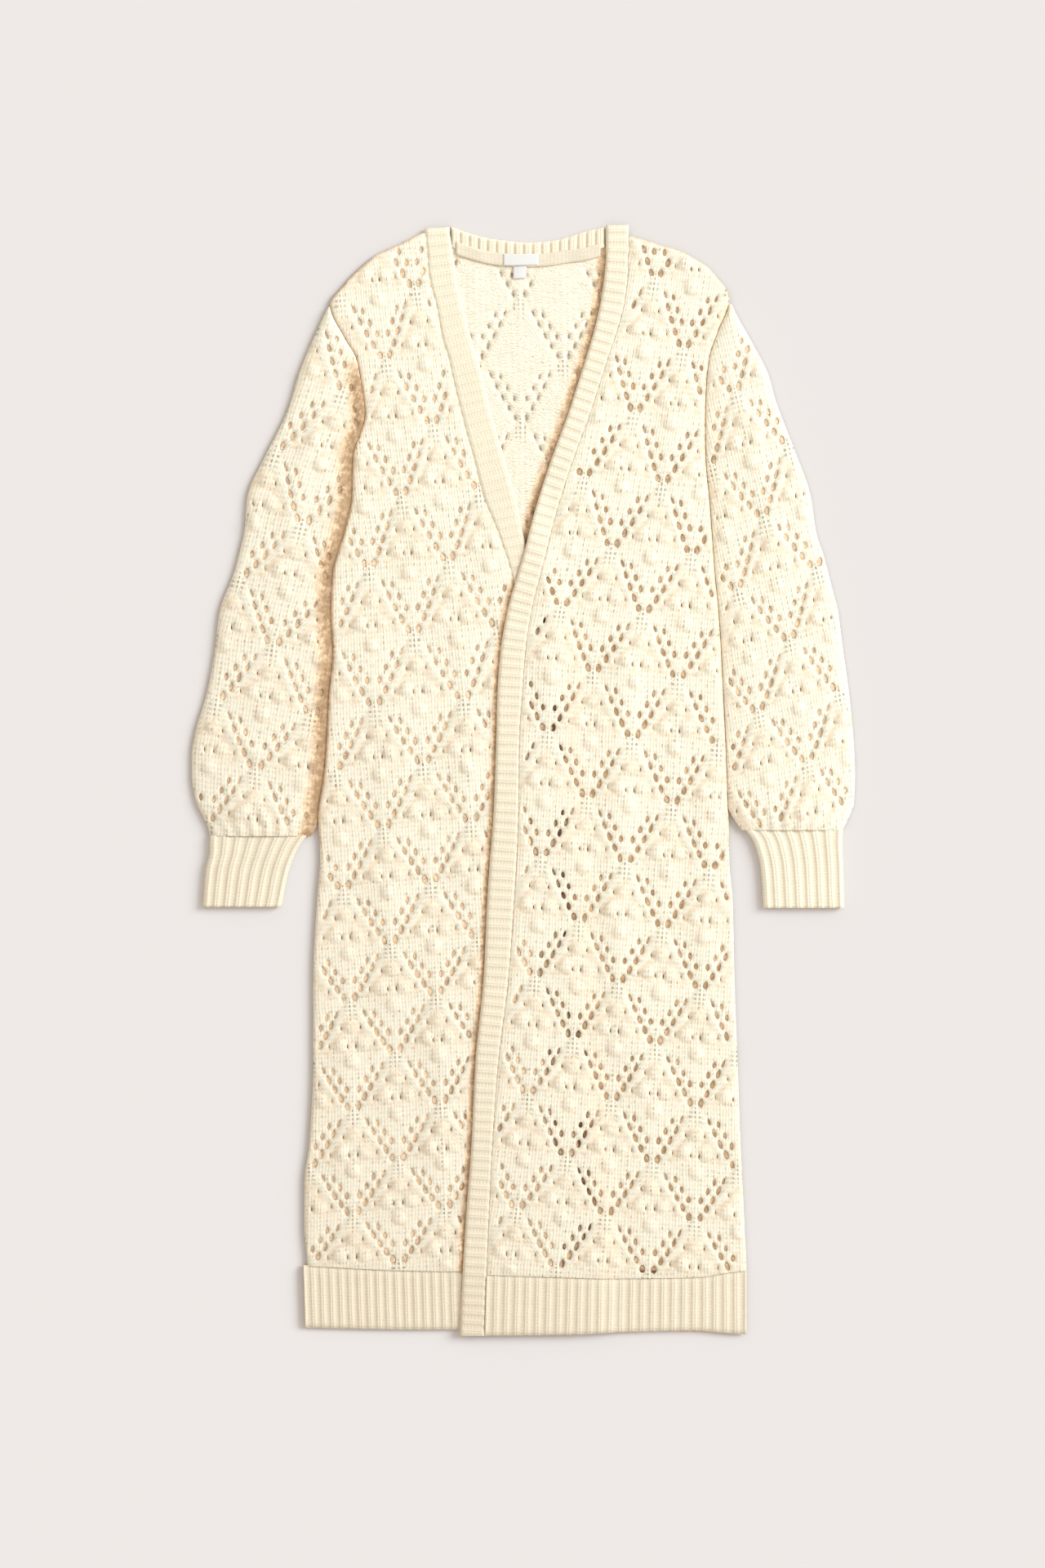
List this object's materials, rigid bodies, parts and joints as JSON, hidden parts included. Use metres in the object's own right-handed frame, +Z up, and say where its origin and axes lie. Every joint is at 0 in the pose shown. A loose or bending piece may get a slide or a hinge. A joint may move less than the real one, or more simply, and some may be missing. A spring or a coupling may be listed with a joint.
{
  "type": "duster cardigan",
  "caption": "Long open-front knitted cardigan in diamond lace with bobbles, rib band, hem and cuffs, laid flat with one front over the other.",
  "frame": {"origin": "on the surface the cardigan lies on, under the middle of its outline", "axes": "+Y along the body from hem to neck, +X towards the wearer's left sleeve, +Z up from the surface through the layers"},
  "size_m": [0.666, 1.114, 0.013],
  "materials": {
    "lace_knit": "soft cream wool in lace stitches with eyelets and bobbles",
    "rib_knit": "soft cream wool in rib stitch",
    "neck_tape": "fine plain cream knit tape",
    "label_weave": "smooth white woven label, blank"
  },
  "bodies": {
    "root": {"back": "lace_knit", "front_right": "lace_knit", "front_left": "lace_knit", "sleeve_right_upper": "lace_knit", "sleeve_right_under": "lace_knit", "sleeve_left_upper": "lace_knit", "sleeve_left_under": "lace_knit", "cuff_right": "rib_knit", "cuff_left": "rib_knit", "hem_back": "rib_knit", "hem_front_right": "rib_knit", "hem_front_left": "rib_knit", "band_front_right": "rib_knit", "band_front_left": "rib_knit", "band_neck": "rib_knit", "neck_tape": "neck_tape", "label": "label_weave", "size_label": "label_weave"}
  },
  "joints": []
}
